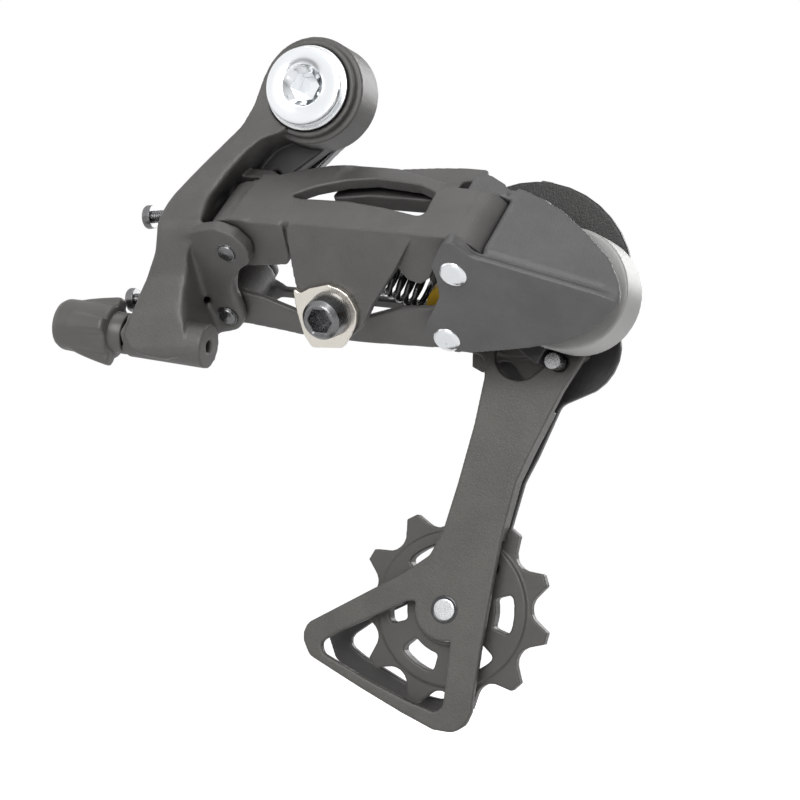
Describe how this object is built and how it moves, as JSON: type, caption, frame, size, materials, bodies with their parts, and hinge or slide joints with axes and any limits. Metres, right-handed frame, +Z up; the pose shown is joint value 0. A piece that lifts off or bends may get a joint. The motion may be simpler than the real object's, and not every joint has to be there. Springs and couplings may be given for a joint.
{
  "type": "rear bicycle derailleur",
  "caption": "Rear bicycle derailleur: bolt-on bracket with barrel adjuster, slant parallelogram links, sprung knuckle and long cage with two toothed pulleys.",
  "frame": {"origin": "on the mounting bolt's axis, at the face that lies against the bicycle's derailleur hanger", "axes": "+X forwards along the bicycle, +Y inboard towards the wheel along the mounting bolt's thread, +Z up; shown at rest on the smallest sprocket with the cage swung fully back"},
  "size_m": [0.134, 0.0522, 0.1558],
  "materials": {
    "cast_dark": "satin paint with a fine texture",
    "cover_grey": "satin paint",
    "drum_silver": "silver paint",
    "link_dark": "satin paint",
    "cage_dark": "satin paint",
    "chrome_bolt": "bright plated",
    "plated_steel": "zinc plated",
    "washer_steel": "warm nickel plated",
    "black_steel": "black oxide",
    "spring_steel": "black oiled",
    "ochre_plastic": "moulded",
    "pulley_plastic": "moulded",
    "knob_plastic": "moulded",
    "bush_metal": "sintered"
  },
  "bodies": {
    "hanger_bolt": {"mounting_bolt": "chrome_bolt", "bolt_washer": "plated_steel", "stop_plate": "black_steel"},
    "bracket": {"bracket": "cast_dark", "pivot_bush": "bush_metal", "bracket_outer_pin": "plated_steel", "bracket_inner_pin": "plated_steel", "adjuster_spring": "spring_steel"},
    "b_screw": {"b_tension_screw": "black_steel"},
    "high_screw": {"high_limit_screw": "black_steel"},
    "low_screw": {"low_limit_screw": "black_steel"},
    "outer_link": {"outer_link": "link_dark", "cable_washer": "washer_steel", "cable_bolt": "black_steel"},
    "inner_link": {"inner_link": "link_dark", "return_spring": "spring_steel"},
    "knuckle": {"knuckle_cover": "cover_grey", "knuckle_drum": "drum_silver", "cage_outer_pin": "chrome_bolt", "cage_inner_pin": "chrome_bolt", "spring_bush": "ochre_plastic", "cage_spring": "spring_steel"},
    "cage": {"outer_plate": "cage_dark", "inner_plate": "cage_dark", "cage_axle": "plated_steel", "cage_stop_pin": "black_steel", "pulley_bushes": "plated_steel", "dust_caps": "plated_steel", "pulley_bolts": "plated_steel"},
    "guide_pulley": {"guide_pulley": "pulley_plastic"},
    "tension_pulley": {"tension_pulley": "pulley_plastic"},
    "adjusting_bolt": {"adjusting_bolt": "black_steel"},
    "adjuster_knob": {"adjuster_knob": "knob_plastic"}
  },
  "joints": [
    {"name": "hanger_pivot", "type": "hinge", "parent": "hanger_bolt", "child": "bracket", "pos_m": [0, 0, 0], "axis": [0, 1, 0], "range_deg": [0, 30]},
    {"name": "b_tension_travel", "type": "slide", "parent": "bracket", "child": "b_screw", "axis": [-1, 0, 0], "range_m": [0, 0.002]},
    {"name": "high_limit_travel", "type": "slide", "parent": "bracket", "child": "high_screw", "axis": [1, 0, 0], "range_m": [-0.0015, 0.0015]},
    {"name": "low_limit_travel", "type": "slide", "parent": "bracket", "child": "low_screw", "axis": [1, 0, 0], "range_m": [-0.0015, 0.0015]},
    {"name": "outer_link_swing", "type": "hinge", "parent": "bracket", "child": "outer_link", "pos_m": [-0.01405, -0.01578, -0.02895], "axis": [0.1543, 0.6847, 0.7123], "range_deg": [0, 50]},
    {"name": "inner_link_swing", "type": "hinge", "parent": "bracket", "child": "inner_link", "pos_m": [-0.0207, -0.00364, -0.04339], "axis": [0.1543, 0.6847, 0.7123], "range_deg": [0, 50], "deforming": ["return_spring"]},
    {"name": "knuckle_swing", "type": "hinge", "parent": "outer_link", "child": "knuckle", "pos_m": [0.04025, -0.02006, -0.03661], "axis": [0.1543, 0.6847, 0.7123], "range_deg": [-50, 0]},
    {"name": "cage_swing", "type": "hinge", "parent": "knuckle", "child": "cage", "pos_m": [0.0587, 0, -0.0472], "axis": [0, -1, 0], "range_deg": [0, 110]},
    {"name": "guide_pulley_spin", "type": "hinge", "parent": "cage", "child": "guide_pulley", "pos_m": [0.0435, 0.009, -0.0424], "axis": [0, 1, 0], "continuous": true},
    {"name": "tension_pulley_spin", "type": "hinge", "parent": "cage", "child": "tension_pulley", "pos_m": [0.02589, 0.009, -0.11633], "axis": [0, 1, 0], "continuous": true},
    {"name": "adjuster_travel", "type": "slide", "parent": "bracket", "child": "adjusting_bolt", "axis": [-0.9848, 0, 0.1736], "range_m": [0, 0.0032]},
    {"name": "adjuster_turn", "type": "hinge", "parent": "adjusting_bolt", "child": "adjuster_knob", "pos_m": [-0.05045, -0.02, -0.05266], "axis": [-0.9848, 0, 0.1736], "range_deg": [0, 1440]}
  ],
  "couplings": [
    {"joint": "inner_link_swing", "follows": "outer_link_swing", "ratio": 1},
    {"joint": "knuckle_swing", "follows": "outer_link_swing", "ratio": -1},
    {"joint": "adjuster_turn", "follows": "adjuster_travel", "rad_per_m": 7854}
  ]
}
